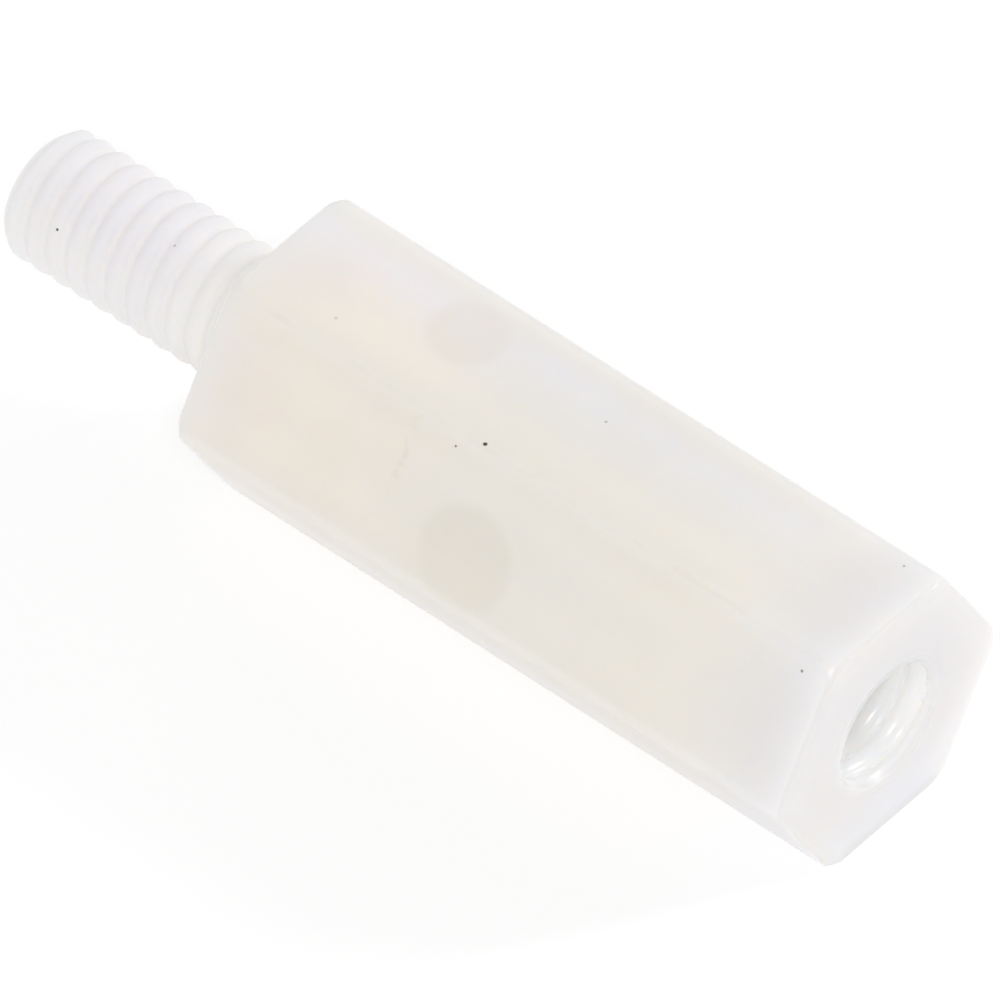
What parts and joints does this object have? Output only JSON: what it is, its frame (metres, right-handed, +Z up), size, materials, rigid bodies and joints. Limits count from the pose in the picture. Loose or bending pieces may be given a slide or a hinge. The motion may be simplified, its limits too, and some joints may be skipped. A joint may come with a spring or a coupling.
{
  "type": "hex standoff",
  "caption": "Moulded plastic hex spacer with a threaded stud at one end and a blind threaded bore at the other.",
  "frame": {"origin": "on the axis, at the centre of the shoulder plane from which the stud stands out", "axes": "+X along the axis from the shoulder to the end face with the bore; the stud points to -X; +Z up, normal to the upper flat, with the part lying on the opposite flat"},
  "size_m": [0.021, 0.0062, 0.0056],
  "materials": {
    "nylon": "natural moulded nylon, slightly translucent, satin"
  },
  "bodies": {
    "root": {"standoff": "nylon"}
  },
  "joints": []
}
